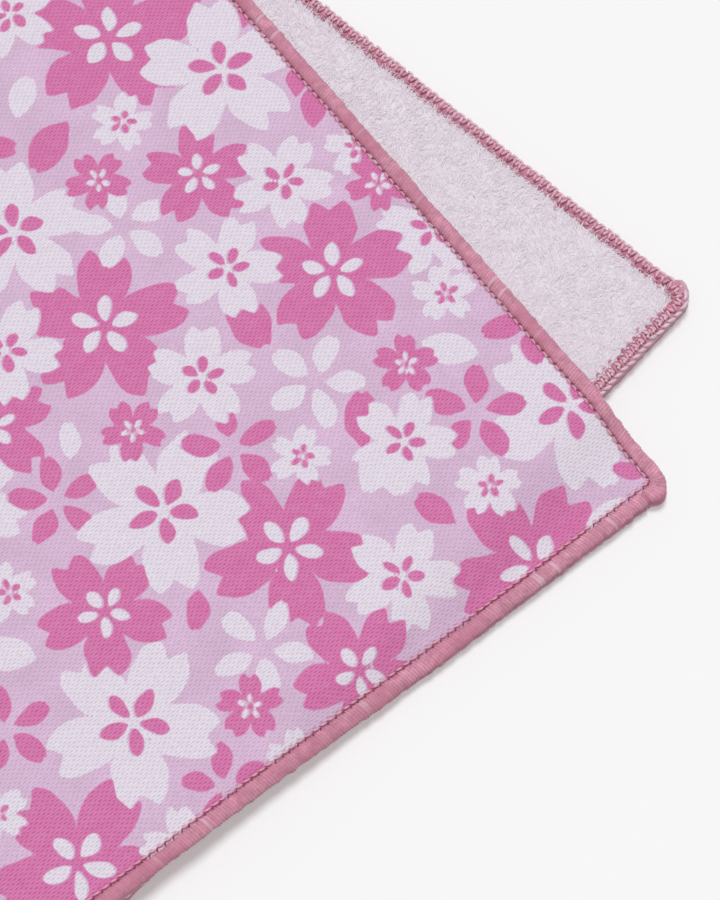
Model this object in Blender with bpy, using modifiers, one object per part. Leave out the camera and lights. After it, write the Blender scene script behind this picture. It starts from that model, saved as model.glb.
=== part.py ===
"""Square towel handkerchief folded once in half, print outside, with an overlocked edge. Metres, +Z up."""

import math

import bmesh
import bpy
import numpy as np

MM = 0.001
SIDE = 250.0  # the cloth laid out flat, edging included
THICK = 2.0  # woven face and pile together
FOLD_AT = 133.4  # along the right edge, from the top corner to the fold
FOLD_TURN = math.radians(4.85)  # the fold line is this far from parallel to the cloth's edge
BEND_R = 3.3  # outside of the soft bend
TOP_Z = 4.9  # printed face of the upper layer, where it lies on the lower one
SETTLE = 16.0  # the bulge at the bend eases into the upper layer over this length
DROOP = 2.45  # how far the upper layer sinks where it passes the lower layer's edge
DROOP_LEN = 9.0
EASE_FROM, EASE_LEN = 15.0, 30.0  # near the fold the layers still hold each other up
WAVE = 0.35  # unevenness of the upper layer
EDGE_R = 1.15  # thickness of the edging, as a radius
GAP = 0.3  # between the cloth and its edging
INSET = 2 * EDGE_R + GAP
CORNER_R = 2.6
HALF_BEND = math.pi * (BEND_R - THICK / 2) / 2

COLOURS = {"towel_cloth": (0.66, 0.46, 0.62), "edging": (0.48, 0.16, 0.27)}


def smooth(x):
    x = np.clip(x, 0.0, 1.0)
    return x * x * (3 - 2 * x)


def fold_distance(u, v):
    """Distance of a point of the flat cloth from the fold line: above 0 on the lower layer."""
    return math.cos(FOLD_TURN) * (v - FOLD_AT) - math.sin(FOLD_TURN) * (u - SIDE)


def past_lower_edge(x, y):
    """How far a place lies beyond the front or left edge of the lower layer."""
    u = SIDE + math.cos(FOLD_TURN) * x + math.sin(FOLD_TURN) * y
    v = FOLD_AT + math.sin(FOLD_TURN) * x - math.cos(FOLD_TURN) * y
    return np.maximum(v - SIDE, -u)


def printed_face(u, v):
    """Where a point of the flat cloth lies on the outside of the folded cloth, in millimetres."""
    t = fold_distance(u, v)
    x = math.cos(FOLD_TURN) * (u - SIDE) + math.sin(FOLD_TURN) * (v - FOLD_AT)
    away = np.maximum(np.abs(t) - HALF_BEND, 0.0)
    angle = -np.clip(t / HALF_BEND, -1.0, 1.0) * math.pi / 2
    y = -BEND_R - away + BEND_R * np.cos(angle)
    bend_z = BEND_R + BEND_R * np.sin(angle)
    top_z = TOP_Z + (2 * BEND_R - TOP_Z) * (1 - smooth(away / SETTLE))
    ease = smooth((away - EASE_FROM) / EASE_LEN)
    top_z = top_z - DROOP * ease * smooth((past_lower_edge(x, y) + 1) / DROOP_LEN)
    rim = smooth(np.minimum.reduce([u, SIDE - u, v]) / 25.0 - 0.15)
    swell = 1 + 0.6 * np.sin(x / 17.0 + 0.9 * np.sin(y / 31.0)) + 0.4 * np.sin(y / 13.0 - x / 41.0)
    top_z = top_z + WAVE * ease * rim * swell
    z = np.where(t < -HALF_BEND, top_z, np.where(t > HALF_BEND, 0.0, bend_z))
    return np.stack([x, y, z], axis=-1)


def inward(u, v, depth):
    """The same place, taken inwards from the printed face by this depth."""
    step = 0.2
    along_u = printed_face(u + step, v) - printed_face(u - step, v)
    along_v = printed_face(u, v + step) - printed_face(u, v - step)
    normal = np.cross(along_u, along_v)
    normal /= np.linalg.norm(normal, axis=-1, keepdims=True)
    return printed_face(u, v) - depth * normal


def rounded(u, v):
    """Rounds the corners of the square by moving the points within a corner's reach."""
    low, high = INSET + CORNER_R, SIDE - INSET - CORNER_R
    du, dv = u - np.clip(u, low, high), v - np.clip(v, low, high)
    a, b = du / CORNER_R, dv / CORNER_R
    return u - du + du * np.sqrt(1 - b * b / 2), v - dv + dv * np.sqrt(1 - a * a / 2)


def steps(low, high, most):
    """Evenly spaced values from low to high, at most this far apart."""
    return np.linspace(low, high, max(2, math.ceil(abs(high - low) / most) + 1))


def cloth_grid():
    """The flat cloth as rows of (u, v), from the lower layer's front edge round the fold to the upper one's."""
    low, high = INSET, SIDE - INSET
    corner = CORNER_R
    u = np.concatenate([
        steps(low, low + corner, 0.9)[:-1], steps(low + corner, 26.0, 3.2)[:-1],
        steps(26.0, 224.0, 9.5)[:-1], steps(224.0, high - corner, 3.6)[:-1],
        steps(high - corner, high, 0.9),
    ])
    bend = steps(HALF_BEND, -HALF_BEND, 0.8)
    settle = steps(-HALF_BEND, -HALF_BEND - SETTLE, 2.3)[1:]
    down, up = 12.0, -HALF_BEND - SETTLE
    rows = []

    def fold_v(t):
        return FOLD_AT + (t + math.sin(FOLD_TURN) * (u - SIDE)) / math.cos(FOLD_TURN)

    for inset in steps(0, corner, 0.9):
        rows.append(np.stack([u, np.full_like(u, high - inset)], axis=-1))
    for share in np.linspace(0, 1, 7)[1:-1]:
        v = (1 - share) * (high - corner) + share * fold_v(down)
        rows.append(np.stack([u, v], axis=-1))
    for t in np.concatenate([[down], bend, settle]):
        rows.append(np.stack([u, fold_v(t)], axis=-1))
    front = 20.0
    for share in np.linspace(0, 1, 11)[1:]:
        v = (1 - share) * fold_v(up) + share * (low + front)
        rows.append(np.stack([u, v], axis=-1))
    for v in np.concatenate([steps(low + front, low + corner, 2.6)[1:], steps(low + corner, low, 0.9)[1:]]):
        rows.append(np.stack([u, np.full_like(u, v)], axis=-1))
    return np.array(rows)


def outline_path():
    """The centre line of the edging round the flat cloth, as (u, v)."""
    low, high = EDGE_R, SIDE - EDGE_R
    radius = CORNER_R + GAP + EDGE_R
    span = high - low - 2 * radius
    fine = 4.5
    points = []
    # Each side starts where the corner before it ends: its corner's centre, its heading and its length.
    sides = [((high - radius, low + radius), 0), ((high - radius, high - radius), 90),
             ((low + radius, high - radius), 180), ((low + radius, low + radius), 270)]
    for (cu, cv), heading in sides:
        for turn in np.linspace(-90, 0, 6)[:-1]:
            a = math.radians(heading + turn)
            points.append((cu + radius * math.cos(a), cv + radius * math.sin(a)))
        a = math.radians(heading)
        start = np.array([cu + radius * math.cos(a), cv + radius * math.sin(a)])
        ahead = np.array([-math.sin(a), math.cos(a)])
        along = [0.0]
        while along[-1] < span - fine:
            t = fold_distance(*(start + ahead * along[-1]))
            along.append(along[-1] + (0.9 if abs(t) < HALF_BEND + 2.0 else fine))
        points.extend(tuple(start + ahead * value) for value in along)
    return np.array(points)


def material(name):
    made = bpy.data.materials.new(name)
    made.use_nodes = True
    shader = made.node_tree.nodes["Principled BSDF"]
    shader.inputs["Base Color"].default_value = (*COLOURS[name], 1.0)
    shader.inputs["Roughness"].default_value = 0.9
    made.diffuse_color = (*COLOURS[name], 1.0)
    return made


def add(name, data):
    obj = bpy.data.objects.new(name, data)
    bpy.data.collections["folded_towel"].objects.link(obj)
    data.materials.append(material(name))
    return obj


def make_cloth(shift):
    grid = cloth_grid()
    u, v = rounded(grid[..., 0], grid[..., 1])
    points = (printed_face(u, v) + shift) * MM
    rows, columns = u.shape
    sheet = bmesh.new()
    bmesh.ops.create_grid(sheet, x_segments=columns - 1, y_segments=rows - 1, size=0.5)
    for vertex, point in zip(sheet.verts, points.reshape(-1, 3)):
        vertex.co = point
    # The rows run from back to front on the upper layer, so the grid's faces are turned outwards.
    bmesh.ops.reverse_faces(sheet, faces=sheet.faces)
    mesh = bpy.data.meshes.new("towel_cloth")
    sheet.to_mesh(mesh)
    sheet.free()
    mesh.shade_smooth()
    mesh.set_sharp_from_angle(angle=math.radians(40))
    obj = add("towel_cloth", mesh)
    shell = obj.modifiers.new("layer", "SOLIDIFY")
    shell.thickness = THICK * MM
    shell.offset = -1.0
    shell.use_even_offset = True
    return obj


def make_edging(shift):
    path = outline_path()
    points = (inward(path[:, 0], path[:, 1], EDGE_R) + shift) * MM
    curve = bpy.data.curves.new("edging", "CURVE")
    curve.dimensions = "3D"
    curve.bevel_depth = EDGE_R * MM
    curve.bevel_resolution = 2
    curve.twist_mode = "MINIMUM"
    spline = curve.splines.new("POLY")
    spline.points.add(len(points) - 1)
    spline.points.foreach_set("co", np.column_stack([points, np.ones(len(points))]).ravel())
    spline.use_cyclic_u = True
    return add("edging", curve)


def centring():
    """Puts the middle of the box round both pieces over the origin."""
    path = outline_path()
    centre = inward(path[:, 0], path[:, 1], EDGE_R)
    low, high = centre.min(axis=0) - EDGE_R, centre.max(axis=0) + EDGE_R
    middle = (low + high) / 2
    return np.array([-middle[0], -middle[1], 0.0])


def main():
    for obj in list(bpy.data.objects):
        bpy.data.objects.remove(obj, do_unlink=True)
    bpy.context.scene.collection.children.link(bpy.data.collections.new("folded_towel"))
    shift = centring()
    make_cloth(shift)
    make_edging(shift)


main()
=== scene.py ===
"""Looks for the folded towel handkerchief: printed cotton outside, curly pile inside, an overlocked edge.

The fold is worked out in millimetres on the flat cloth, in u and v, then placed in metres round the frame.
"""

import math

import bpy
import numpy as np
from bpy.props import FloatProperty, FloatVectorProperty, IntProperty, PointerProperty
from mathutils import Matrix, Vector


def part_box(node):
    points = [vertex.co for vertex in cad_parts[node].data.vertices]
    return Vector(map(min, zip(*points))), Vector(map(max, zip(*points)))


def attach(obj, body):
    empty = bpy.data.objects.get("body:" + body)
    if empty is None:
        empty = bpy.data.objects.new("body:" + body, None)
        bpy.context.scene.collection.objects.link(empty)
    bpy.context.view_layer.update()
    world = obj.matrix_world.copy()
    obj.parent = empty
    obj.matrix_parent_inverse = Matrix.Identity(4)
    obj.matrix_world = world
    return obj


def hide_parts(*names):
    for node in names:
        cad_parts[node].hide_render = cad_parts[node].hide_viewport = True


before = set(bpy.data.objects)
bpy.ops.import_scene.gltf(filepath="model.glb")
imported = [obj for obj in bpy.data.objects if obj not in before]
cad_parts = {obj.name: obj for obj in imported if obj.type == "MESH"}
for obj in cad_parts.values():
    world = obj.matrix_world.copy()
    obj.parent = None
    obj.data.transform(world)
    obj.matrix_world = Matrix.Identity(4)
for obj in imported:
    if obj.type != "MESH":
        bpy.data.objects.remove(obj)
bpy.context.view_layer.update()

bl_info = {
    "name": "Folded towel handkerchief",
    "version": (1, 0, 0),
    "blender": (4, 5, 0),
    "location": "View3D > Sidebar > Towel",
    "description": "Dresses the folded towel handkerchief with its print, pile and overlocked edge",
    "category": "Object",
}

MM = 0.001
PHOTO_ACROSS, PHOTO_DOWN = 720, 900  # pixels of the photograph
SENSOR = 36.0  # width of the camera's sensor in millimetres
CLOTH_LAYER = 2.0  # woven face and pile together
CLOTH_CORNER = 2.6  # radius of the solid cloth's corners
CLOTH_GAP = 0.3  # between the solid cloth and its edging


def length(name, description, millimetres):
    """A size in metres, given here in millimetres."""
    return FloatProperty(name=name, description=description, default=millimetres * MM, min=0.0,
                         unit="LENGTH", subtype="DISTANCE", precision=5)


def turn(name, description, degrees):
    return FloatProperty(name=name, description=description, default=math.radians(degrees),
                         unit="ROTATION", subtype="ANGLE")


def colour(name, description, red, green, blue):
    """A colour given as on a screen, from 0 to 255."""
    screen = np.array([red, green, blue]) / 255.0
    linear = np.where(screen > 0.04045, ((screen + 0.055) / 1.055) ** 2.4, screen / 12.92)
    return FloatVectorProperty(name=name, description=description, default=[float(x) for x in linear],
                               min=0.0, max=1.0, size=3, subtype="COLOR")


def share(name, description, default, high=1.0):
    return FloatProperty(name=name, description=description, default=default, min=0.0, max=high)


class TOWEL_PG_fold(bpy.types.PropertyGroup):
    side: length("Side", "Side of the square cloth laid flat", 250.0)
    fold_at: length("Fold place", "Along the right edge, from the top corner to the fold", 133.4)
    fold_turn: turn("Fold turn", "How far the fold is from parallel to the edge", 4.85)
    bend: length("Bend radius", "Outside radius of the soft bend at the fold", 3.3)
    top: length("Upper face height", "Height of the print where the layers lie on each other", 4.9)
    settle: length("Settling length", "The bulge at the fold eases out over this length", 16.0)
    droop: length("Droop", "How far the upper layer sinks past the lower layer's edge", 2.45)
    droop_length: length("Droop length", "Length over which it sinks", 9.0)
    ease_from: length("Ease start", "The layers hold each other up as far as this from the fold", 15.0)
    ease_length: length("Ease length", "Length over which they part", 30.0)
    wave: length("Wave", "Unevenness of the upper layer", 0.35)
    edge: length("Edging radius", "Half the edging's thickness", 1.15)


class TOWEL_PG_print(bpy.types.PropertyGroup):
    ground: colour("Ground", "Lilac ground of the printed cotton", 210, 179, 207)
    pink: colour("Pink ink", "Pink flowers", 204, 105, 160)
    white: colour("White ink", "White flowers", 222, 214, 226)
    across_pitch: length("Pitch along v", "Pitch of the threads that run along u", 0.352)
    along_pitch: length("Pitch along u", "Pitch of the threads that run along v", 0.455)
    relief: length("Weave relief", "Depth of the weave", 0.055)
    slip: length("Plate slip", "How far the white plate lies off the pink one", 0.22)
    fine: length("Fine pitch", "Pitch of the mesh by the corner that shows best", 0.385)
    coarse: length("Coarse pitch", "Pitch of the mesh elsewhere", 0.95)
    seed: IntProperty(name="Seed", description="Seed of the flowers outside the charted corner", default=7)


class TOWEL_PG_pile(bpy.types.PropertyGroup):
    light: colour("Pile", "Colour of the pile's tips", 214, 207, 214)
    # The pile shadow is painted shade: the curls darken towards their roots, and the ground where its bumps
    # are low.
    deep: colour("Pile shadow", "Colour deep in the pile", 210, 200, 208)
    fibre: length("Fibre length", "Length of a curl of the pile", 1.5)
    width: length("Fibre width", "Width of a curl at its root", 0.15)
    most: IntProperty(name="Curls", description="Most curls in one piece of the pile", default=13000, min=0)
    # The glow is painted light: the pile gives off light in its own colour, standing in for light that the
    # thin fibres pass on to each other.
    glow: share("Glow", "Light that the thin fibres pass on to each other", 0.4)
    seed: IntProperty(name="Seed", description="Seed of the pile", default=21)


class TOWEL_PG_edging(bpy.types.PropertyGroup):
    thread: colour("Thread", "Rose thread of the edging", 224, 164, 184)
    # Painted shade: the colour between threads darkens the hollows between the wraps and the outer wall; it
    # also tints random darker patches of the thread.
    shade_and_dark_rose: colour("Between threads", "Where one wrap meets the next", 194, 120, 145)
    # Besides the needle thread, this dark colour paints shadow in the slit, the line, the holes and the dents
    # among the threads.
    needle: colour("Needle thread", "Dark thread along the inner border", 150, 66, 92)
    pale: colour("Gap", "Cloth that shows between two wraps", 226, 204, 218)
    rib: length("Wrap pitch", "From one wrapped thread to the next", 0.41)
    stitch: length("Stitch pitch", "From one needle stitch to the next", 1.18)
    relief: length("Wrap relief", "How far a wrapped thread stands up", 0.07)
    proud: length("Proud", "How far the edging stands above the print", 0.22)
    corner: length("Corner radius", "Radius of the edging's centre line at a corner", 1.8)


class TOWEL_PG_stage(bpy.types.PropertyGroup):
    azimuth: turn("Azimuth", "Where the camera looks, turned from the back of the cloth", -42.988)
    elevation: turn("Elevation", "How steeply the camera looks down", 68.23)
    target_x: length("Target x", "Where the camera looks, to the right of the middle", 88.376)
    target_y: FloatProperty(name="Target y", description="Where the camera looks, in front of the middle",
                            default=-32.675 * MM, unit="LENGTH", subtype="DISTANCE", precision=5)
    distance: length("Distance", "From the camera to its target", 349.386)
    lens: FloatProperty(name="Lens", description="Focal length in millimetres on a 36 mm sensor",
                        default=108.28, min=1.0)
    floor: colour("Floor", "Plain pale floor", 247, 247, 247)
    key: FloatProperty(name="Key light", description="Strength of the large soft light", default=1.96)
    fill: FloatProperty(name="Sky", description="Strength of the even light from all round", default=0.4)
    warmth: share("Warm shade", "How much warmer the sky is, and how much cooler the key light", 0.04)
    glow: share("Floor glow", "How much of the floor's paleness is its own, which softens the shadow", 0.25)


class TOWEL_PG_settings(bpy.types.PropertyGroup):
    fold: PointerProperty(type=TOWEL_PG_fold, name="Fold", description="Sizes of the folded cloth")
    print: PointerProperty(type=TOWEL_PG_print, name="Print", description="Printed cotton outside")
    pile: PointerProperty(type=TOWEL_PG_pile, name="Pile", description="Curly pile inside")
    edging: PointerProperty(type=TOWEL_PG_edging, name="Edging", description="Overlocked edge")
    stage: PointerProperty(type=TOWEL_PG_stage, name="Stage", description="Camera, floor and light")


def settings():
    return bpy.context.scene.towel


def smooth(x):
    x = np.clip(x, 0.0, 1.0)
    return x * x * (3 - 2 * x)


def ripple(x, y, size, seed, waves=7):
    """A smooth uneven value from about -1 to 1 over places x, y, with lumps of about this size."""
    rng = np.random.default_rng(seed)
    total = np.zeros(np.shape(x))
    for heading, phase, stretch in zip(rng.uniform(0, math.tau, waves), rng.uniform(0, math.tau, waves),
                                       rng.uniform(0.7, 1.4, waves)):
        step = math.pi / (size * stretch)
        total = total + np.sin(step * (x * math.cos(heading) + y * math.sin(heading)) + phase)
    return total / math.sqrt(waves)


class Fold:
    """The folded cloth's shape, in millimetres, from the sizes that the solids were made with."""

    def __init__(self, sizes):
        self.side = sizes.side / MM
        self.at = sizes.fold_at / MM
        self.cos, self.sin = math.cos(sizes.fold_turn), math.sin(sizes.fold_turn)
        self.bend = sizes.bend / MM
        self.top = sizes.top / MM
        self.settle = sizes.settle / MM
        self.droop, self.droop_length = sizes.droop / MM, sizes.droop_length / MM
        self.ease_from, self.ease_length = sizes.ease_from / MM, sizes.ease_length / MM
        self.wave = sizes.wave / MM
        self.edge = sizes.edge / MM
        self.half_bend = math.pi * (self.bend - CLOTH_LAYER / 2) / 2
        box_low, box_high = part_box("edging")
        self.shift = np.zeros(3)
        s = np.arange(0.0, self.round_length(self.edge, self.corner()), 0.5)
        u, v, _, _ = self.round_edge(s, self.edge, self.corner())
        middle = self.place(u, v, self.edge)
        centre = (middle.min(axis=0) + middle.max(axis=0)) / 2
        wanted = (np.array(box_low) + np.array(box_high)) / 2 / MM
        self.shift = np.array([wanted[0] - centre[0], wanted[1] - centre[1], 0.0])

    def corner(self):
        """Radius of the solid edging's centre line at the corners of the flat cloth."""
        return CLOTH_CORNER + CLOTH_GAP + self.edge

    def distance(self, u, v):
        """Distance of a place on the flat cloth from the fold line: above 0 on the lower layer."""
        return self.cos * (v - self.at) - self.sin * (u - self.side)

    def past_lower_edge(self, x, y):
        u = self.side + self.cos * x + self.sin * y
        v = self.at + self.sin * x - self.cos * y
        return np.maximum(v - self.side, -u)

    def face(self, u, v):
        """Where a place on the flat cloth lies on the printed outside."""
        t = self.distance(u, v)
        x = self.cos * (u - self.side) + self.sin * (v - self.at)
        away = np.maximum(np.abs(t) - self.half_bend, 0.0)
        angle = -np.clip(t / self.half_bend, -1.0, 1.0) * math.pi / 2
        y = -self.bend - away + self.bend * np.cos(angle)
        bend_z = self.bend + self.bend * np.sin(angle)
        top_z = self.top + (2 * self.bend - self.top) * (1 - smooth(away / self.settle))
        ease = smooth((away - self.ease_from) / self.ease_length)
        top_z = top_z - self.droop * ease * smooth((self.past_lower_edge(x, y) + 1) / self.droop_length)
        rim = smooth(np.minimum.reduce([u, self.side - u, v]) / 25.0 - 0.15)
        swell = 1 + 0.6 * np.sin(x / 17.0 + 0.9 * np.sin(y / 31.0)) + 0.4 * np.sin(y / 13.0 - x / 41.0)
        top_z = top_z + self.wave * ease * rim * swell
        z = np.where(t < -self.half_bend, top_z, np.where(t > self.half_bend, 0.0, bend_z))
        return np.stack([x, y, z], axis=-1) + self.shift

    def outward(self, u, v):
        """The direction that the print faces, at unit length."""
        step = 0.2
        along_u = self.face(u + step, v) - self.face(u - step, v)
        along_v = self.face(u, v + step) - self.face(u, v - step)
        facing = np.cross(along_u, along_v)
        return facing / np.linalg.norm(facing, axis=-1, keepdims=True)

    def place(self, u, v, depth):
        """A place this far in from the print."""
        depth = np.asarray(depth, float)[..., None]
        return self.face(u, v) - depth * self.outward(u, v)

    def upper_flat(self, x, y):
        """The place u, v of the upper layer that lies over x, y."""
        x, y = x - self.shift[0], y - self.shift[1]
        t = y + self.bend - self.half_bend
        return self.side + self.cos * x - self.sin * t, self.at + self.sin * x + self.cos * t

    def round_length(self, inset, radius):
        return 4 * (self.side - 2 * inset - 2 * radius + math.pi / 2 * radius)

    def round_edge(self, s, inset, radius):
        """(u, v, outward u, outward v) at arc length s on a round-cornered square inside the edge.

        It starts at the front right corner, runs along the right edge and then on round.
        """
        run = self.side - 2 * inset - 2 * radius
        leg = run + math.pi / 2 * radius
        s = np.mod(s, 4 * leg)
        side = np.floor(s / leg)
        rest = s - side * leg
        heading = side * math.pi / 2
        swing = np.maximum(rest - run, 0.0) / radius
        ahead = np.minimum(rest, run)
        half = self.side / 2
        local_out = half - inset - radius + radius * np.cos(swing)
        local_on = -half + inset + radius + ahead + radius * np.sin(swing)
        cos, sin = np.cos(heading), np.sin(heading)
        u = half + cos * local_out - sin * local_on
        v = half + sin * local_out + cos * local_on
        return u, v, np.cos(heading + swing), np.sin(heading + swing)


def mesh_piece(name, points, faces, values=None, flat=None):
    """A piece of the towel from points in millimetres, with named values and flat places on its points."""
    mesh = bpy.data.meshes.new(name)
    points = np.asarray(points, float).reshape(-1, 3) * MM
    faces = np.asarray(faces, np.int64)
    corners = faces.shape[1]
    mesh.vertices.add(len(points))
    mesh.vertices.foreach_set("co", points.ravel())
    mesh.loops.add(faces.size)
    mesh.loops.foreach_set("vertex_index", faces.ravel())
    mesh.polygons.add(len(faces))
    mesh.polygons.foreach_set("loop_start", np.arange(0, faces.size, corners))
    mesh.update(calc_edges=True)
    for key, value in (values or {}).items():
        layer = mesh.attributes.new(key, "FLOAT", "POINT")
        layer.data.foreach_set("value", np.asarray(value, np.float32).ravel())
    if flat is not None:
        layer = mesh.uv_layers.new(name="flat")
        layer.uv.foreach_set("vector", np.asarray(flat, np.float32).reshape(-1, 2)[faces.ravel()].ravel())
    mesh.shade_smooth()
    obj = bpy.data.objects.new(name, mesh)
    bpy.context.scene.collection.objects.link(obj)
    return obj


def grid_faces(rows, columns, turned=False, closed=False):
    """Four-sided faces of a grid of points, closed round its columns where asked."""
    index = np.arange(rows * columns).reshape(rows, columns)
    if closed:
        index = np.concatenate([index, index[:, :1]], axis=1)
    a, b, c, d = index[:-1, :-1], index[:-1, 1:], index[1:, 1:], index[1:, :-1]
    faces = np.stack([a, b, c, d], axis=-1).reshape(-1, 4)
    return faces[:, ::-1] if turned else faces


def steps(low, high, most):
    """Evenly spaced values from low to high, at most this far apart."""
    return np.linspace(low, high, max(2, math.ceil(abs(high - low) / most) + 1))


class Shader:
    """Short ways to add and join the nodes of one material."""

    def __init__(self, name, roughness, **sockets):
        self.material = bpy.data.materials.new(name)
        self.material.use_nodes = True
        self.tree = self.material.node_tree
        self.surface = self.tree.nodes["Principled BSDF"]
        self.surface.inputs["Roughness"].default_value = roughness
        for key, value in sockets.items():
            self.surface.inputs[key.replace("_", " ")].default_value = value

    def join(self, value, socket):
        if isinstance(value, bpy.types.NodeSocket):
            self.tree.links.new(value, socket)
        else:
            socket.default_value = value

    def math(self, operation, *values, clamp=False):
        node = self.tree.nodes.new("ShaderNodeMath")
        node.operation, node.use_clamp = operation, clamp
        for value, socket in zip(values, node.inputs):
            self.join(value, socket)
        return node.outputs[0]

    def attribute(self, name):
        node = self.tree.nodes.new("ShaderNodeAttribute")
        node.attribute_name = name
        return node.outputs["Fac"]

    def flat(self):
        node = self.tree.nodes.new("ShaderNodeUVMap")
        node.uv_map = "flat"
        return node.outputs[0]

    def place(self):
        """The place on the object in metres."""
        return self.tree.nodes.new("ShaderNodeTexCoord").outputs["Object"]

    def split(self, vector):
        node = self.tree.nodes.new("ShaderNodeSeparateXYZ")
        self.join(vector, node.inputs[0])
        return node.outputs[0], node.outputs[1]

    def noise(self, vector, size, detail=2.0, rough=0.5):
        """Smooth noise from 0 to 1 with lumps of this size, in the units of the vector."""
        node = self.tree.nodes.new("ShaderNodeTexNoise")
        self.join(vector, node.inputs["Vector"])
        node.inputs["Scale"].default_value = 1.0 / size
        node.inputs["Detail"].default_value = detail
        node.inputs["Roughness"].default_value = rough
        return node.outputs[0]

    def remap(self, value, low, high, to_low=0.0, to_high=1.0, smoothed=False):
        node = self.tree.nodes.new("ShaderNodeMapRange")
        node.interpolation_type = "SMOOTHSTEP" if smoothed else "LINEAR"
        for item, socket in zip((value, low, high, to_low, to_high), node.inputs):
            self.join(item, socket)
        return node.outputs[0]

    def mix(self, factor, first, second, blend="MIX"):
        node = self.tree.nodes.new("ShaderNodeMix")
        node.data_type, node.blend_type = "RGBA", blend
        self.join(factor, node.inputs["Factor"])
        for value, key in ((first, 6), (second, 7)):
            self.join(value if isinstance(value, bpy.types.NodeSocket) else (*value, 1.0), node.inputs[key])
        return node.outputs[2]

    def brightness(self, value, picture):
        """The colour with every part of it multiplied by the value."""
        node = self.tree.nodes.new("ShaderNodeVectorMath")
        node.operation = "SCALE"
        self.join(picture, node.inputs[0])
        self.join(value, node.inputs["Scale"])
        return node.outputs[0]

    def stray(self, vector, size, amount, detail=2.0):
        """Smooth noise round 0, up to half of this amount either way."""
        return self.math("MULTIPLY", self.math("SUBTRACT", self.noise(vector, size, detail), 0.5), amount)

    def mottle(self, picture, vector, size, low, high, detail=2.0, rough=0.5, spread=0.2):
        """The colour made darker and lighter, from low to high, in lumps of this size."""
        lumps = self.noise(vector, size, detail, rough)
        return self.brightness(self.remap(lumps, 0.5 - spread, 0.5 + spread, low, high), picture)

    def finish(self, picture, height=None, relief=1.0, strength=1.0):
        self.join(picture, self.surface.inputs["Base Color"])
        if height is not None:
            bump = self.tree.nodes.new("ShaderNodeBump")
            bump.inputs["Strength"].default_value = strength
            bump.inputs["Distance"].default_value = relief
            self.join(height, bump.inputs["Height"])
            self.join(bump.outputs[0], self.surface.inputs["Normal"])
        return self.material


# Half of one petal of a blossom, along it and to its side, for a blossom of radius 1.
BLOSSOM_HALF = [(0.324, 0.235), (0.40, 0.275), (0.50, 0.306), (0.62, 0.324), (0.74, 0.318), (0.85, 0.285),
                (0.93, 0.232), (0.985, 0.172), (0.94, 0.105), (0.89, 0.05), (0.84, 0.0)]
# Half of a lone petal or of one leaf shape of the open kind, from its point to its notch, 2 long.
LEAF_HALF = [(-1.0, 0.0), (-0.75, 0.24), (-0.45, 0.44), (-0.1, 0.54), (0.25, 0.54), (0.6, 0.43),
             (0.85, 0.27), (0.98, 0.14), (0.92, 0.06), (0.88, 0.0)]
# The same for one of the five small leaves in a blossom's middle, which have no notch.
MIDDLE_HALF = [(-1.0, 0.0), (-0.8, 0.22), (-0.45, 0.43), (0.0, 0.54), (0.4, 0.5), (0.75, 0.33), (0.94, 0.14),
               (1.0, 0.0)]
# The flowers of the corner that shows, as rows of ink, kind, across, down, size and turn. Across, down and
# size are pixels of the photograph and the turn is in degrees; a later row lies over an earlier one.
CHART = """
white blossom 358 146 62 98
pink petal 243 13 34 80
pink petal 297 79 34 85
pink petal 190 0 40 80
white blossom -35 500 132 46
pink blossom -7 428 120 102
pink blossom 109 36 166 92
pink blossom 105 327 163 91
white open 125 226 95 106
pink blossom 199 174 108 96
white blossom 433 226 105 97
pink blossom 333 271 154 94
pink petal 247 317 72 300
white petal 10 654 62 170
white blossom 14 232 150 95
white blossom 6 352 110 61
white blossom 222 68 155 100
white blossom 283 180 100 64
white blossom 228 267 108 70
white open 317 380 100 69
pink open 226 785 92 100
pink blossom 79 864 182 59
white blossom 134 722 175 61
pink open 57 502 95 103
pink blossom 105 612 134 56
pink blossom 289 547 168 60
white blossom 164 511 170 62
pink open 232 448 100 104
white blossom 203 377 108 88
white petal 378 468 52 250
white petal 394 470 50 285
pink petal 361 419 60 88
white petal 451 348 58 172
white petal 601 446 74 -68
white blossom 571 404 165 68
pink open 476 412 105 89
white blossom 405 440 105 68
pink blossom 537 557 170 60
white blossom 403 575 115 68
white blossom 491 485 66 91
pink open 8 731 95 104
white open 264 648 105 64
pink blossom 361 669 136 58
white blossom 298 755 60 97
white blossom 186 850 92 96
pink blossom 250 706 68 91
white blossom 302 456 63 73
pink blossom 133 431 65 50
pink blossom 406 363 64 92
pink blossom 379 181 66 55
pink blossom 98 180 64 50
white blossom 123 122 62 76
white blossom 9 14 90 112
white blossom 446 292 63 102
white blossom 10 593 63 105
white blossom -1 813 63 36
white petal 24 96 46 75
pink petal 50 145 62 238
pink petal -8 147 46 0
pink petal 313 107 42 95
white petal 72 442 40 92
pink petal 436 509 46 147
pink petal 198 610 44 267
pink petal 505 325 46 200
pink petal 533 347 34 300
pink petal 630 463 30 160
white petal 612 508 52 35
"""
# In a flower of radius 1, how far from its centre each of these leaves lies, and half its length.
OPEN_LEAF = (0.59, 0.41)
MIDDLE_LEAF = (0.24, 0.168)
# Flowers elsewhere: their kind, their size in millimetres and how many are tried for on the whole cloth.
SCATTER = [("blossom", 21.5, 900), ("blossom", 14.2, 1400), ("open", 13.2, 900), ("blossom", 8.4, 1600),
           ("petal", 6.4, 1800)]


def rounded_line(points, pieces=3):
    """A smooth line through the points."""
    p = np.array(points)
    line = []
    for i in range(len(p) - 1):
        before, a, b, after = p[max(i - 1, 0)], p[i], p[i + 1], p[min(i + 2, len(p) - 1)]
        for t in np.arange(pieces) / pieces:
            line.append(0.5 * (2 * a + (b - before) * t + (2 * before - 5 * a + 4 * b - after) * t**2
                               + (3 * a - before - 3 * b + after) * t**3))
    return np.array(line + [p[-1]])


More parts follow.
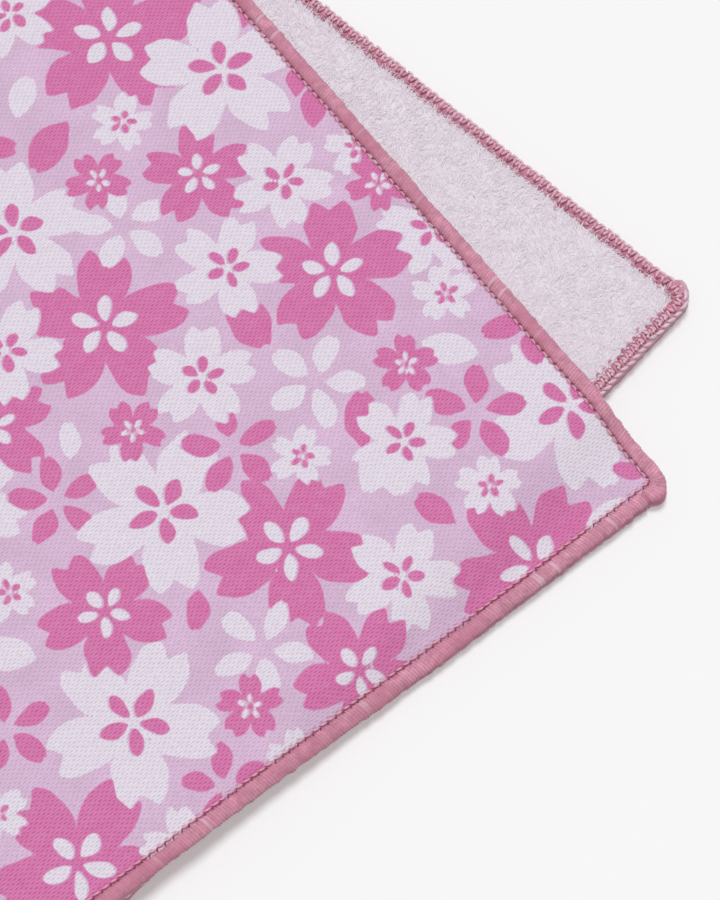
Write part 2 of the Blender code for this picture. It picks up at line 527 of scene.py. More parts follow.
def depth_inside(x, y, line, from_middle=False):
    """How far a place is inside a shape from its half outline: below 0 outside."""
    nearest = np.full(x.shape, np.inf)
    crossings = np.zeros(x.shape, bool)
    stretches = list(zip(line[:-1], line[1:]))
    for (ax, ay), (bx, by) in stretches:
        dx, dy = bx - ax, by - ay
        along = np.clip(((x - ax) * dx + (y - ay) * dy) / (dx * dx + dy * dy), 0.0, 1.0)
        nearest = np.minimum(nearest, np.hypot(x - ax - along * dx, y - ay - along * dy))
    if from_middle:
        stretches.append(((0.0, 0.0), tuple(line[0])))
    for (ax, ay), (bx, by) in stretches:
        if bx != ax:
            crossings ^= ((ax <= x) != (bx <= x)) & (ay + (x - ax) * (by - ay) / (bx - ax) > y)
    return np.where(crossings, nearest, -nearest)


def five_fold(x, y):
    """The place as seen in one half of one of five like petals."""
    radius, petal = np.hypot(x, y), math.tau / 5
    angle = np.abs(np.mod(np.arctan2(y, x) + petal / 2, petal) - petal / 2)
    return radius * np.cos(angle), radius * np.sin(angle)


def flower_layers(kind, radius, x, y):
    """The shapes of one flower, each as (is it in the flower's own ink, depth inside it)."""
    leaf = rounded_line(LEAF_HALF)
    if kind == "petal":
        return [(True, depth_inside(x / radius, np.abs(y) / radius, leaf) * radius)]
    across, beside = five_fold(x / radius, y / radius)
    if kind == "open":
        out, size = OPEN_LEAF
        return [(True, depth_inside((across - out) / size, beside / size, leaf) * radius * size)]
    out, size = MIDDLE_LEAF
    petals = depth_inside(across, beside, rounded_line(BLOSSOM_HALF), from_middle=True) * radius
    middle = depth_inside((across - out) / size, beside / size, rounded_line(MIDDLE_HALF)) * radius * size
    return [(True, petals), (False, middle)]


class Eye:
    """The camera's place and directions, to carry pixels of the photograph to the cloth."""

    def __init__(self, stage):
        a, e = stage.azimuth, stage.elevation
        self.forward = np.array([-math.sin(a) * math.cos(e), math.cos(a) * math.cos(e), -math.sin(e)])
        self.right = np.array([math.cos(a), math.sin(a), 0.0])
        self.up = np.cross(self.right, self.forward)
        target = np.array([stage.target_x, stage.target_y, 0.0]) / MM
        self.at = target - self.forward * stage.distance / MM
        self.focal = stage.lens / SENSOR * PHOTO_DOWN

    def on_height(self, across, down, height):
        """Where the sight line through a pixel meets this height."""
        ray = (self.forward + self.right * (across - PHOTO_ACROSS / 2) / self.focal
               + self.up * (PHOTO_DOWN / 2 - down) / self.focal)
        return self.at + ray * (height - self.at[2]) / ray[2]

    def pixel(self, points):
        away = points - self.at
        depth = away @ self.forward
        return (PHOTO_ACROSS / 2 + self.focal * (away @ self.right) / depth,
                PHOTO_DOWN / 2 - self.focal * (away @ self.up) / depth)


def charted_flowers(fold, eye):
    """The chart's flowers on the flat cloth, as (ink, kind, u, v, radius, turn) in millimetres."""
    flowers = []
    height = fold.top + 0.3  # the upper layer's print, with its mean swell
    reach = 4.0  # pixels from a flower's centre to where its turn and scale are read
    for row in CHART.split("\n"):
        if not row:
            continue
        ink, kind, *numbers = row.split()
        across, down, size, degrees = (float(n) for n in numbers)
        angle = math.radians(degrees)
        spots = [(across, down), (across + reach * math.cos(angle), down - reach * math.sin(angle)),
                 (across + reach, down), (across, down - reach)]
        flat = [fold.upper_flat(*eye.on_height(a, d, height)[:2]) for a, d in spots]
        (u, v), (u1, v1), (u2, v2), (u3, v3) = flat
        scale = (math.hypot(u2 - u, v2 - v) + math.hypot(u3 - u, v3 - v)) / (2 * reach)
        flowers.append((ink, kind, u, v, size * scale / 2, math.atan2(v1 - v, u1 - u)))
    return flowers


def scattered_flowers(fold, eye, charted, seed):
    """More flowers of the same kinds and closeness, over the rest of the cloth."""
    rng = np.random.default_rng(seed)
    found = list(charted)
    added = []
    margin = 4.0  # millimetres past the cloth's edge
    border = 20  # pixels past the picture's edge
    closeness = 0.84  # least distance of two flowers, as a share of their radii together
    for kind, size, tries in SCATTER:
        spots = rng.uniform(-margin, fold.side + margin, (tries, 2))
        turns = rng.uniform(0.0, math.tau, tries)
        sizes = size * rng.uniform(0.93, 1.07, tries)
        inks = rng.permutation(tries) % 2
        across, down = eye.pixel(fold.face(spots[:, 0], spots[:, 1]))
        seen = (across > -border) & (across < PHOTO_ACROSS + border)
        seen &= (down > -border) & (down < PHOTO_DOWN + border)
        seen &= fold.distance(spots[:, 0], spots[:, 1]) < 0
        for (u, v), angle, wide, ink, hidden in zip(spots, turns, sizes, inks, ~seen):
            clear = all(math.hypot(u - at_u, v - at_v) > closeness * (wide / 2 + radius)
                        for _, _, at_u, at_v, radius, _ in found)
            if hidden and clear:
                flower = ("pink" if ink else "white", kind, u, v, wide / 2, angle)
                found.append(flower)
                added.append(flower)
    return added


def ink_cover(u, v, flowers, soft):
    """How far pink and white ink cover each place, from 0 to 1, each flower over those before it."""
    pink, white = np.zeros(u.shape), np.zeros(u.shape)
    wobble, lump = 0.16, 2.6  # the printed outlines are a little uneven
    u, v = u + wobble * ripple(u, v, lump, 31), v + wobble * ripple(u, v, lump, 32)
    for ink, kind, at_u, at_v, radius, angle in flowers:
        near = (np.abs(u - at_u) < radius + 1) & (np.abs(v - at_v) < radius + 1)
        if not near.any():
            continue
        x, y = u[near] - at_u, v[near] - at_v
        x, y = math.cos(angle) * x + math.sin(angle) * y, math.cos(angle) * y - math.sin(angle) * x
        for own, depth in flower_layers(kind, radius, x, y):
            cover = np.clip(0.5 + depth / (2 * soft), 0.0, 1.0)
            over, under = (pink, white) if (ink == "pink") == own else (white, pink)
            over[near] += (1 - over[near]) * cover
            under[near] *= 1 - cover
    return pink, white


def print_material(look):
    """Plain-woven cotton with two inks on a mottled lilac ground."""
    s = Shader("printed_cotton", 0.82, Sheen_Weight=0.12, Sheen_Roughness=0.5, Specular_IOR_Level=0.25)
    flat = s.flat()
    # The threads wander slowly and jitter, in shares of their pitch.
    stray = s.math("ADD", s.stray(flat, 5.0, 1.1), s.stray(flat, 0.5, 0.55, 1.0))
    along, across = [
        s.math("MULTIPLY", s.math("ADD", value, s.math("MULTIPLY", stray, pitch / MM)), math.pi * MM / pitch)
        for value, pitch in zip(s.split(flat), (look.along_pitch, look.across_pitch))]
    rows, posts, groove = s.math("SINE", across), s.math("SINE", along), s.math("COSINE", across)
    # A small pit shows in every other groove between two threads, in turns.
    brick = s.math("MULTIPLY", posts, groove)
    pit = s.math("MULTIPLY", brick, s.math("ABSOLUTE", brick), clamp=True)
    height = s.math("ADD", s.math("MULTIPLY", s.math("ABSOLUTE", rows), 0.4),
                    s.math("ADD", s.math("MULTIPLY", s.math("ABSOLUTE", posts), 0.15), 0.5))
    height = s.math("SUBTRACT", height, s.math("MULTIPLY", pit, 0.62))
    fray = s.math("ADD", s.stray(flat, 0.45, 0.35),
                  s.math("MULTIPLY", s.math("SUBTRACT", height, 0.75), 0.16))
    pink, white = [s.remap(s.math("ADD", s.attribute(ink), fray), 0.34, 0.66, smoothed=True)
                   for ink in ("pink", "white")]
    patchy = s.remap(s.noise(flat, 1.6, 3.0, 0.6), 0.25, 0.75, 0.84, 1.0)
    ground = s.mottle(look.ground, flat, 7.0, 0.93, 1.06, detail=3.0, rough=0.55)
    inked = s.mix(s.math("MULTIPLY", white, patchy), ground, look.white)
    inked = s.mix(s.math("MULTIPLY", pink, patchy), inked, look.pink)
    # Painted shade in the weave: lower threads and the pits are darker, and more so in the pink, the darkest
    # of the three.
    woven = s.remap(height, 0.1, 0.95, 0.81, 1.09)
    deeper = s.math("MULTIPLY", s.math("SUBTRACT", woven, 1.0), s.math("MULTIPLY", pink, 0.8))
    inked = s.brightness(s.math("ADD", woven, deeper), inked)
    inked = s.mottle(inked, flat, 0.6, 0.92, 1.08, detail=3.0, rough=0.75, spread=0.25)
    return s.finish(inked, height, look.relief, 0.8)


def print_piece(name, fold, look, flowers, u, v, soft):
    """One stretch of the printed face over rows of flat places u, v."""
    # The print dips towards the edging, and again where the needle thread pulls it in.
    rim = np.minimum.reduce([u, fold.side - u, v, fold.side - v])
    tuck = 0.2 * smooth((6.5 - rim) / 3.5) + 0.45 * smooth((2.8 - rim) / 1.6)
    points = fold.place(u, v, tuck)
    points[..., 2] = np.maximum(points[..., 2], 0.0)
    pink, _ = ink_cover(u, v, flowers, soft)
    slip = look.slip / MM
    _, white = ink_cover(u + slip, v - 0.6 * slip, flowers, soft)
    rows, columns = u.shape
    return mesh_piece(name, points, grid_faces(rows, columns), {"pink": pink, "white": white},
                      np.stack([u, v], axis=-1))


def make_print():
    look, fold = settings().print, Fold(settings().fold)
    eye = Eye(settings().stage)
    charted = charted_flowers(fold, eye)
    flowers = scattered_flowers(fold, eye, charted, look.seed) + charted
    material = print_material(look)
    inset = 1.1  # the edging covers the print from here
    low, high = inset, fold.side - inset
    corner_u, corner_v, under_v = 130.0, 116.0, 150.0  # where one stretch ends and the next starts
    fine, coarse = look.fine / MM, look.coarse / MM
    bend, under = 0.6, 1.3 * coarse
    # Each stretch's name, its places along u and v, and how soft the inks' borders are on its mesh.
    stretches = [
        ("print_corner", steps(corner_u, high, fine), steps(low, corner_v, fine), 0.35),
        ("print_left", steps(low, corner_u, coarse), steps(low, corner_v, coarse), 0.6),
        ("print_fold", steps(low, high, coarse), steps(corner_v, under_v, bend), 0.6),
        ("print_under", steps(low, high, under), steps(under_v, high, under), 0.7),
    ]
    for name, across, down, soft in stretches:
        u, v = np.meshgrid(across, down)
        piece = print_piece(name, fold, look, flowers, u, v, soft)
        piece.data.materials.append(material)
        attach(piece, "root")
        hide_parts("towel_cloth")


def terry_material(look):
    """The ground of the pile, lumpy and near white, with painted shade where its bumps are low and a painted
    glow.
    """
    # The emission is a painted glow, standing in for light that the thin fibres pass on to each other.
    s = Shader("terry_ground", 0.95, Sheen_Weight=0.3, Specular_IOR_Level=0.1,
               Emission_Color=tuple(look.light) + (1.0,), Emission_Strength=0.55 * look.glow)
    flat = s.flat()
    lumps = s.noise(flat, 0.7, 4.0, 0.65)
    # Painted shade: the pile shadow colour where the lumps are low.
    picture = s.mix(s.remap(lumps, 0.35, 0.62), look.deep, look.light)
    picture = s.mottle(picture, flat, 9.0, 0.95, 1.04)
    return s.finish(picture, lumps, 0.5 * MM, 0.9)


def pile_material(look):
    """Separate curls with painted shade towards their roots and a painted glow, each a little different in
    tone.
    """
    # The emission is a painted glow, standing in for light that the thin fibres pass on to each other.
    s = Shader("terry_curls", 0.9, Sheen_Weight=0.3, Sheen_Roughness=0.5, Specular_IOR_Level=0.1,
               Emission_Color=tuple(look.light) + (1.0,), Emission_Strength=look.glow)
    # Painted shade: each curl is darker towards its root, deep in the pile.
    picture = s.mix(s.remap(s.attribute("tip"), 0.0, 0.6), look.deep, look.light)
    picture = s.brightness(s.remap(s.attribute("tone"), 0.0, 1.0, 0.95, 1.03), picture)
    return s.finish(picture)


def inner_depth(u, v, side):
    """How far in the pile's ground lies, thinner by the edging."""
    rim = np.minimum.reduce([u, side - u, v, side - v])
    return CLOTH_LAYER - 0.7 * smooth((4.0 - rim) / 3.0) + 0.12 * ripple(u, v, 1.7, 5)


def make_terry():
    look, fold = settings().pile, Fold(settings().fold)
    inset = 1.2
    bend_from, bend_to = 118.0, 152.0  # the fold lies between these
    wide, close = 2.6, 0.9  # steps of the mesh, away from the fold and round it
    across = steps(inset, fold.side - inset, wide)
    down = np.concatenate([steps(inset, bend_from, wide)[:-1], steps(bend_from, bend_to, close)[:-1],
                           steps(bend_to, fold.side - inset, wide)])
    u, v = np.meshgrid(across, down)
    points = fold.place(u, v, inner_depth(u, v, fold.side))
    rows, columns = u.shape
    piece = mesh_piece("terry_ground", points, grid_faces(rows, columns, turned=True), None,
                       np.stack([u, v], axis=-1))
    piece.data.materials.append(terry_material(look))
    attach(piece, "root")


def open_terry(fold, u, v):
    """Whether the upper layer leaves this place of the lower layer's pile to be seen."""
    points = fold.place(u, v, np.full(u.shape, CLOTH_LAYER))
    over_u, over_v = fold.upper_flat(points[..., 0], points[..., 1])
    under = 1.5  # the curls go on this far under the upper layer
    covered = (over_u < fold.side - under) & (over_u > under) & (over_v > under)
    return ~covered & (fold.distance(u, v) > fold.half_bend)


def tube_faces(count, stations, sides):
    """Four-sided faces of many open tubes, each of some stations with points round it."""
    index = np.arange(count * stations * sides).reshape(count, stations, sides)
    onward = np.roll(index, -1, axis=2)
    return np.stack([index[:, :-1], onward[:, :-1], onward[:, 1:], index[:, 1:]], axis=-1).reshape(-1, 4)


def curls(fold, look, u, v, rng):
    """Points, faces and values of a curl at each place, combed mostly one way."""
    count, stations, sides = len(u), 3, 3
    rooted = 0.2  # how far down in the ground a curl starts
    reach = look.fibre / MM * rng.uniform(0.6, 1.2, count)
    lean = 0.2 + 0.4 * ripple(u, v, 2.0, 11) + 0.5 * ripple(u, v, 9.0, 12) + rng.normal(0, 0.35, count)
    rise = np.clip(0.34 + 0.10 * ripple(u, v, 1.4, 13) + rng.normal(0, 0.10, count), 0.12, 0.9)
    curl = rng.normal(0, 1.3, count)
    up = -fold.outward(u, v)
    small = 0.2
    ahead = fold.face(u + small, v) - fold.face(u - small, v)
    ahead /= np.linalg.norm(ahead, axis=-1, keepdims=True)
    beside = np.cross(up, ahead)
    rings = []
    way = fold.place(u, v, inner_depth(u, v, fold.side) - rooted)
    for station in range(stations):
        part = station / (stations - 1)
        heading = lean + curl * part
        climb = rise * (1.5 - 1.7 * part)
        along = np.cos(heading)[:, None] * ahead + np.sin(heading)[:, None] * beside
        step = along * np.sqrt(np.clip(1 - climb**2, 0.05, 1))[:, None] + up * climb[:, None]
        cross = np.cross(step, up)
        cross /= np.linalg.norm(cross, axis=-1, keepdims=True)
        over = np.cross(cross, step)
        radius = look.width / MM / 2 * (1 - 0.55 * part)
        for side in range(sides):
            a = math.tau * side / sides + math.pi / 2
            rings.append(way + radius * (math.cos(a) * cross + 0.6 * math.sin(a) * over))
        way = way + step * (reach / (stations - 1))[:, None]
    points = np.stack(rings, axis=1)
    tip = np.broadcast_to(np.repeat(np.linspace(0, 1, stations), sides), (count, stations * sides))
    tone = np.broadcast_to(rng.uniform(0, 1, count)[:, None], (count, stations * sides))
    return points, tube_faces(count, stations, sides), tip, tone


def make_pile():
    look, fold = settings().pile, Fold(settings().fold)
    rng = np.random.default_rng(look.seed)
    material = pile_material(look)
    rim = 1.9
    low_v, high_v = 125.0, fold.side - rim
    middle_u, right_u = 125.0, 236.0  # where one stretch ends and the next starts
    # Each stretch's name, its range of u and its share of the curls. The right two show in the photograph.
    stretches = (("pile_left", rim, middle_u, 0.42), ("pile_right", middle_u, right_u, 1.0),
                 ("pile_corner", right_u, fold.side - rim, 1.0))
    tries = 40  # most places fall under the upper layer, so many more are tried than kept
    for name, low, high, part in stretches:
        most = int(look.most * part * (1.0))
        u, v = rng.uniform(low, high, tries * most), rng.uniform(low_v, high_v, tries * most)
        kept = open_terry(fold, u, v)
        u, v = u[kept][:most], v[kept][:most]
        points, faces, tip, tone = curls(fold, look, u, v, rng)
        piece = mesh_piece(name, points, faces, {"tip": tip, "tone": tone})
        piece.data.materials.append(material)
        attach(piece, "root")


def edging_material(look):
    """Soft rose thread with painted shade between the wraps and on the outer wall, paler where the cloth
    shows through.
    """
    s = Shader("edging_thread", 0.85, Sheen_Weight=0.3, Sheen_Roughness=0.5, Specular_IOR_Level=0.12)
    place = s.place()
    # Painted shade: the colour between threads where the height value is low, and darker still on the outer
    # wall, where that value is below 0.
    picture = s.mix(s.remap(s.attribute("height"), 0.0, 1.0), look.shade_and_dark_rose, look.thread)
    picture = s.brightness(s.remap(s.attribute("height"), -0.4, 0.0, 0.8, 1.0), picture)
    for size, low, high, detail in ((1.1, 0.8, 1.14, 3.0), (0.5, 0.92, 1.06, 2.0), (0.25, 0.93, 1.05, 1.0)):
        picture = s.mottle(picture, place, size * MM, low, high, detail)
    picture = s.mix(s.attribute("pale"), picture, look.pale)
    # Painted shade in the corner creases and between the loopers on the pile side.
    picture = s.mix(s.attribute("rose"), picture, look.shade_and_dark_rose)
    picture = s.mix(s.remap(s.noise(place, 9.0 * MM, 2.0), 0.42, 0.62, 0.0, 0.6), picture, look.shade_and_dark_rose)
    strands = s.noise(place, 0.12 * MM, 2.0)
    return s.finish(picture, strands, 0.05 * MM, 0.6)


def edge_place(fold, s, inset, depth, corner):
    """A place by the cloth's edge: s along it, this far inside it and this far in from the print."""
    u, v, out_u, out_v = fold.round_edge(s, fold.edge, corner)
    points = fold.place(u + out_u * (fold.edge - inset), v + out_v * (fold.edge - inset), depth)
    points[..., 2] = np.maximum(points[..., 2], 0.0)
    return points


def narrowing(fold, s, corner):
    """Where the rim is pulled in: along the lower layer's sides, from the fold nearly to the corner."""
    u, v, _, _ = fold.round_edge(s, fold.edge, corner)
    return smooth((fold.distance(u, v) - 3) / 8) * smooth((fold.side - v - 3.0) / 4.0)


def make_edging():
    look, fold = settings().edging, Fold(settings().fold)
    rng = np.random.default_rng(17)
    corner = look.corner / MM
    around = 16
    total = fold.round_length(fold.edge, corner)
    ribs = round(total / (look.rib / MM))
    rows = 2 * ribs
    index = np.arange(rows)
    theta = np.arange(around) / around * math.tau
    upper = np.sin(theta) > 0
    s = (index * total / rows)[:, None] + (0.3 * np.cos(theta) + 0.1 * np.sin(theta))[None, :]
    crest = (index % 2).astype(float)
    firm = 0.3 + 1.3 * np.repeat(rng.uniform(0, 1, ribs), 2)
    gap_share = 0.035  # of the wraps stand apart, so that the cloth shows between them
    gap = np.repeat(rng.uniform(0, 1, ribs) < gap_share, 2) & (index % 2 == 0)
    lift = (look.relief / MM * firm * (crest - 0.5))[:, None] + 0.05 * ripple(s, 0 * s, 0.7, 41)
    lift = lift + 0.06 * ripple(s, 2.5 * theta[None, :] + 0 * s, 4.0, 42) - 0.06 * gap[:, None]
    # Each corner is blunt outside, with a crease across it where one side's wraps end; the crease is also
    # given painted shade.
    leg = total / 4
    from_corner = np.mod(s + leg / 2, leg) - leg / 2 + math.pi / 4 * corner
    blunt = 0.6 * np.exp(-((from_corner + 1.2) / 0.9) ** 2) * np.maximum(np.cos(theta), 0.0)[None, :]
    crease = np.exp(-((from_corner + 2.7) / 0.25) ** 2)
    lift = lift + blunt - 0.3 * crease
    square = 0.8  # below 1 makes the round section squarer
    cos = np.sign(np.cos(theta)) * np.abs(np.cos(theta)) ** square
    sin = np.sign(np.sin(theta)) * np.abs(np.sin(theta)) ** square
    sideways = (fold.edge + lift) * cos[None, :] * (1 - 0.4 * narrowing(fold, s, corner) * (cos > 0))
    depth = fold.edge - (fold.edge + np.where(upper, look.proud / MM, 0.0) + lift) * sin[None, :]
    points = edge_place(fold, s, fold.edge - sideways, depth, corner)
    faces = grid_faces(rows, around, closed=True)
    first, onward = np.arange(around), np.roll(np.arange(around), -1)
    past = (rows - 1) * around
    faces = np.concatenate([faces, np.stack([first + past, onward + past, onward, first], axis=-1)])
    shaded_wall = smooth((np.cos(theta) - 0.4) / 0.4) * smooth((0.75 - np.sin(theta)) / 0.5)
    # The height value paints shade: low between the wraps, and below 0 on the outer wall, which is given
    # painted shade all along.
    height = 0.25 + 0.75 * crest * (0.5 + 0.5 * np.repeat(rng.uniform(0, 1, ribs), 2))
    height = height[:, None] * (1 - shaded_wall)[None, :] - 0.4 * shaded_wall[None, :]
    # On the pile side the wraps end: the rim is pale there, and the rest gets painted shade between the
    # loopers.
    rim = smooth(np.cos(theta) * 2.0 - 0.6) * smooth(-0.1 - 2.0 * np.sin(theta)) * 0.75
    dark = smooth(-np.sin(theta) * 2.0 - 0.2) * smooth(1.9 - 2.0 * np.cos(theta))
    pale = np.maximum(0.8 * gap[:, None] * upper[None, :], rim[None, :] + 0 * s)
    # The rose value is painted shade, at the corner creases and between the loopers.
    rose = np.maximum(dark[None, :] * 0.35, 0.9 * crease)
    piece = mesh_piece("edging_wraps", points, faces, {"height": height, "pale": pale, "rose": rose})
    piece.data.materials.append(edging_material(look))
    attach(piece, "root")
    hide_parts("edging")


def thread_material(look):
    """Thin thread from the dark of the needle line to the rose of the loopers; its darkest strands are
    painted shadow.
    """
    s = Shader("needle_thread", 0.6, Sheen_Weight=0.25, Specular_IOR_Level=0.3)
    light = s.attribute("light")
    picture = s.mix(s.remap(light, 0.0, 1.0), look.needle, look.thread)
    picture = s.mix(s.remap(light, 1.0, 2.0), picture, look.pale)
    picture = s.mottle(picture, s.place(), 0.5 * MM, 0.88, 1.12)
    return s.finish(picture, s.noise(s.place(), 0.12 * MM, 1.0), 0.04 * MM, 0.5)


def edge_threads(fold, corner, s, inset, depth, thick, sides, light):
    """Short threads by the edge, as (points, faces, light), from rows of stations along each."""
    count, stations = s.shape
    middle = edge_place(fold, s, inset, depth, corner)
    ahead = np.gradient(middle, axis=1)
    ahead /= np.maximum(np.linalg.norm(ahead, axis=-1, keepdims=True), 1e-6)
    up = edge_place(fold, s, inset, depth - 0.1, corner) - middle + (0, 0, 1e-3)
    across = np.cross(ahead, up)
    across /= np.maximum(np.linalg.norm(across, axis=-1, keepdims=True), 1e-6)
    over = np.cross(across, ahead)
    part = np.linspace(-1, 1, stations)
    radius = (thick * np.sqrt(np.clip(1.04 - part**4, 0.04, 1)))[None, :, None, None]
    theta = (np.arange(sides) / sides * math.tau)[None, None, :, None]
    ring = np.cos(theta) * across[:, :, None] + np.sin(theta) * over[:, :, None]
    points = middle[:, :, None] + radius * ring
    points[..., 2] = np.maximum(points[..., 2], 0.0)
    return points, tube_faces(count, stations, sides), np.broadcast_to(light, (count, stations * sides))


def thread_piece(name, material, parts):
    """One piece of several groups of threads."""
    points, faces, light, start = [], [], [], 0
    for these, joined, shade in parts:
        points.append(these.reshape(-1, 3))
        faces.append(joined + start)
        light.append(np.ravel(shade))
        start += len(points[-1])
    values = {"light": np.concatenate(light)}
    piece = mesh_piece(name, np.concatenate(points), np.concatenate(faces), values)
    piece.data.materials.append(material)
    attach(piece, "root")


# Threads that come once with each stitch, in millimetres. Start and reach are along the edge: from the stitch
# to the thread's middle, and from there to its ends. Inset is from the rim to its middle, and depth from the
# print. Its far end adds slant and sink to these two, and its middle adds arch and sag. Its shade is from
# dark to bright: 0 is the needle thread, 1 is rose and 2 or more is pale. Uneven and pulled are its shares
# of the stitches' unevenness and of the rim's pull.
THREADS = """
name  start reach inset slant arch  depth sink sag   radius sides dark bright uneven pulled
slit  0     0.2   2.26  0.15  0     0.05  0    -0.03 0.13   5     0    0      0      0
chain 0.59  0.56  2.46  -0.06 -0.05 0.17  0    -0.1  0.16   5     0.95 0.95   0      0
line  0.5   0.55  2.68  -0.04 0.03  0.27  0    -0.03 0.07   4     0.25 0.25   0      0
braid 0     0.62  0.36  0.16  0     2.15  0.1  0     0.26   6     1.75 1.75   1      0.7
out   0.32  0.26  1.3   0.62  0     2.4   0    0.1   0.25   5     0.85 1.5    1      0
back  0.9   0.26  1.3   -0.6  0     2.38  0    0.1   0.22   5     0.65 1.4    1      0
loop  0.6   0.3   2.1   0     0.22  2.34  0    0.1   0.19   5     0.45 1.3    3      0
tuft  0.62  0.14  0.98  0.12  0     2.52  0    0.08  0.24   5     3    3      0      0
fuzz  0.05  0.14  1.85  0.12  0     2.5   0    0.08  0.2    5     3    3      0      0
hole  0.05  0.15  0.85  0.1   0     2.42  0    0.08  0.17   5     0.15 0.15   1      0.3
dent  0.62  0.14  1.72  -0.1  0     2.43  0    0.08  0.15   5     0.15 0.15   1      0
"""
# The needle thread's thin chain lies along the edging's inner border, on the print. The dark slit strand
# between the chain and the edging is painted shadow, and the thin dark line on the chain's print side is
# painted shadow too.
NEEDLE = ("slit", "chain", "line")
# On the pile side are a braid at the rim, a zigzag out over the edge and back, and loops inside it; the holes
# and dents among them are dark strands of painted shade. Pile shows through only along the lower layer's
# front edge, where the cloth was cut across its loops.
LOOPERS = ("braid", "out", "back", "loop", "tuft", "fuzz", "hole", "dent")
FRONT_ONLY = ("tuft", "fuzz")


def make_threads(piece, names, seed):
    """One piece of these threads, at every stitch along the edge, a little unevenly."""
    look, fold = settings().edging, Fold(settings().fold)
    corner, rng = look.corner / MM, np.random.default_rng(seed)
    total = fold.round_length(fold.edge, corner)
    count = round(total / (look.stitch / MM))
    at = (np.arange(count) + rng.normal(0, 0.05, count))[:, None] * total / count
    uneven = rng.normal(0, 0.07, (count, 1))
    pull = 0.42 * narrowing(fold, at, corner)
    # The lower layer's front edge is the second of the four sides.
    front = np.abs(at[:, 0] - 3 * total / 8) < total / 8 - 2
    part = np.linspace(-1, 1, 4)[None, :]
    bow = 1 - part**2
    columns, *rows = [row.split() for row in THREADS.strip().split("\n")]
    sizes = {row[0]: dict(zip(columns[1:], map(float, row[1:]))) for row in rows}
    made = []
    for name in names:
        t = sizes[name]
        some = front if name in FRONT_ONLY else slice(None)
        inset = t["inset"] + t["slant"] * part + t["arch"] * bow + t["uneven"] * uneven[some]
        inset = inset + t["pulled"] * pull[some]
        depth = t["depth"] + t["sink"] * part + t["sag"] * bow
        light = t["dark"]
        if t["bright"] > t["dark"]:
            light = rng.uniform(t["dark"], t["bright"], (count, 1))
        along = at[some] + t["start"] + t["reach"] * part
        made.append(edge_threads(fold, corner, along, inset, depth, t["radius"], int(t["sides"]), light))
    thread_piece(piece, thread_material(look), made)


def floor_material(look):
    own, lit = [tuple(part * x for x in look.floor) + (1.0,) for part in (look.glow, 1 - look.glow)]
    return Shader("pale_floor", 0.9, Specular_IOR_Level=0.0, Emission_Color=own, Emission_Strength=1.0,
                  Base_Color=lit).material


def make_stage():
    look = settings().stage
    eye = Eye(look)
    scene = bpy.context.scene
    scene.view_settings.view_transform = "Standard"
    lens = bpy.data.cameras.new("camera")
    lens.lens, lens.sensor_width, lens.sensor_fit = look.lens, SENSOR, "AUTO"
    lens.clip_start, lens.clip_end = 0.01, 20.0
    camera = bpy.data.objects.new("camera", lens)
    back = -Vector(eye.forward)
    turned = Matrix((Vector(eye.right), Vector(eye.up), back)).transposed().to_4x4()
    camera.matrix_world = Matrix.Translation(Vector(eye.at) * MM) @ turned
    scene.collection.objects.link(camera)
    scene.camera = camera
    reach, drop = 3000.0, 0.05  # how far the floor goes, and how far it is under the cloth
    corners = [(x, y, -drop) for x, y in ((-reach, -reach), (reach, -reach), (reach, reach), (-reach, reach))]
    floor = mesh_piece("floor", corners, [(0, 1, 2, 3)])
    floor.data.materials.append(floor_material(look))
    target = Vector((look.target_x, look.target_y, 0.0))
    lamp = bpy.data.lights.new("key", "SUN")
    lamp.angle, lamp.energy = math.radians(20), look.key
    # The sky's share of the light is the smaller, so a lesser tint of the key light balances it.
    cooler = 0.65 * look.warmth
    lamp.color = (1 - cooler, 1.0, 1 + cooler)
    key = bpy.data.objects.new("key", lamp)
    high_behind = Vector((0.15, 0.2, 0.97))
    key.location = target + high_behind
    key.rotation_euler = (target - key.location).to_track_quat("-Z", "Y").to_euler()
    scene.collection.objects.link(key)
    world = bpy.data.worlds.new("studio")
    world.use_nodes = True
    sky = world.node_tree.nodes["Background"].inputs
    sky["Color"].default_value = (1 + look.warmth, 1.0, 1 - look.warmth, 1.0)
    sky["Strength"].default_value = look.fill
    scene.world = world


class TOWEL_OT_stage(bpy.types.Operator):
    """Sets the camera, the pale floor and the soft light"""

    bl_idname = "towel.stage"
    bl_label = "Stage"

    def execute(self, context):
        make_stage()
        return {"FINISHED"}


class TOWEL_OT_print(bpy.types.Operator):
    """Makes the printed cotton outside, in four stretches"""

    bl_idname = "towel.print_face"
    bl_label = "Printed cotton"

    def execute(self, context):
        make_print()
        return {"FINISHED"}


class TOWEL_OT_terry(bpy.types.Operator):
    """Makes the ground of the pile inside"""

    bl_idname = "towel.terry"
    bl_label = "Pile ground"

    def execute(self, context):
        make_terry()
        return {"FINISHED"}


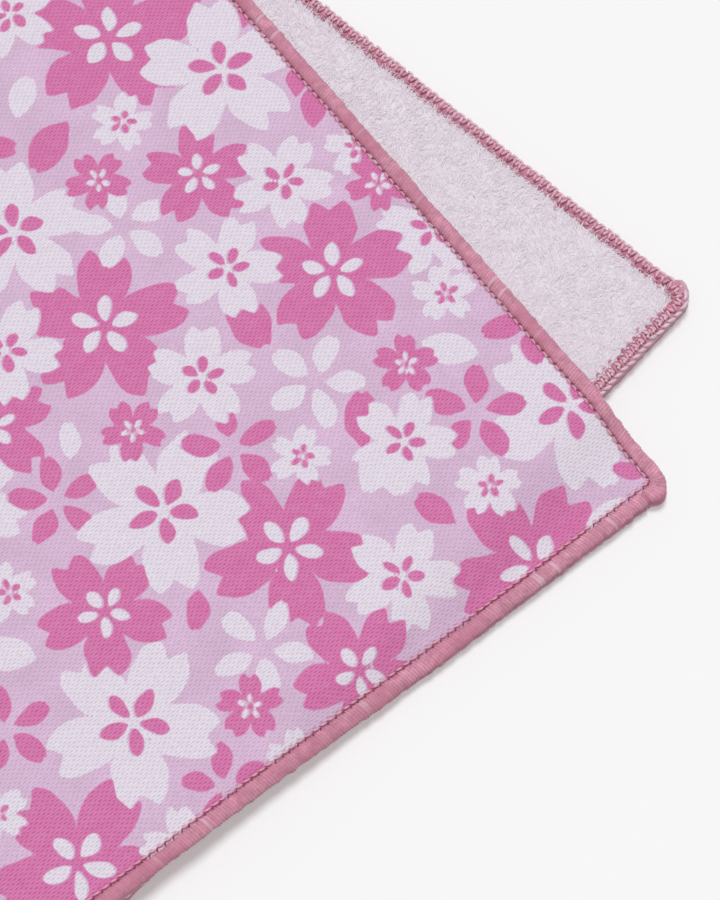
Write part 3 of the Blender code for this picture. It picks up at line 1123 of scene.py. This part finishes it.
class TOWEL_OT_pile(bpy.types.Operator):
    """Makes the curls of the pile where the lower layer shows"""

    bl_idname = "towel.pile"
    bl_label = "Pile curls"

    def execute(self, context):
        make_pile()
        return {"FINISHED"}


class TOWEL_OT_edging(bpy.types.Operator):
    """Makes the wrapped threads of the edge"""

    bl_idname = "towel.edging"
    bl_label = "Edging"

    def execute(self, context):
        make_edging()
        return {"FINISHED"}


class TOWEL_OT_needle(bpy.types.Operator):
    """Makes the needle thread's chain on the print and the looper threads on the pile side"""

    bl_idname = "towel.needle"
    bl_label = "Needle and looper threads"

    def execute(self, context):
        make_threads("needle_chain", NEEDLE, 3)
        make_threads("looper_threads", LOOPERS, 4)
        return {"FINISHED"}


class TOWEL_PT_panel(bpy.types.Panel):
    """Lists the towel's pieces in the sidebar"""

    bl_idname = "TOWEL_PT_panel"
    bl_label = "Folded towel handkerchief"
    bl_space_type = "VIEW_3D"
    bl_region_type = "UI"
    bl_category = "Towel"

    def draw(self, context):
        for group in ("fold", "print", "pile", "edging", "stage"):
            box = self.layout.box()
            box.label(text=group.capitalize())
            values = getattr(context.scene.towel, group)
            for key in values.__annotations__:
                box.prop(values, key)
        for operator in OPERATORS:
            self.layout.operator(operator.bl_idname)


GROUPS = (TOWEL_PG_fold, TOWEL_PG_print, TOWEL_PG_pile, TOWEL_PG_edging, TOWEL_PG_stage, TOWEL_PG_settings)
OPERATORS = (TOWEL_OT_stage, TOWEL_OT_print, TOWEL_OT_terry, TOWEL_OT_pile, TOWEL_OT_edging, TOWEL_OT_needle)
CLASSES = (*GROUPS, *OPERATORS, TOWEL_PT_panel)


def register():
    for made in CLASSES:
        bpy.utils.register_class(made)
    bpy.types.Scene.towel = PointerProperty(type=TOWEL_PG_settings)


def unregister():
    del bpy.types.Scene.towel
    for made in reversed(CLASSES):
        bpy.utils.unregister_class(made)


def main():
    register()
    bpy.ops.towel.stage()
    bpy.ops.towel.print_face()
    bpy.ops.towel.terry()
    bpy.ops.towel.pile()
    bpy.ops.towel.edging()
    bpy.ops.towel.needle()


if __name__ == "__main__":
    main()
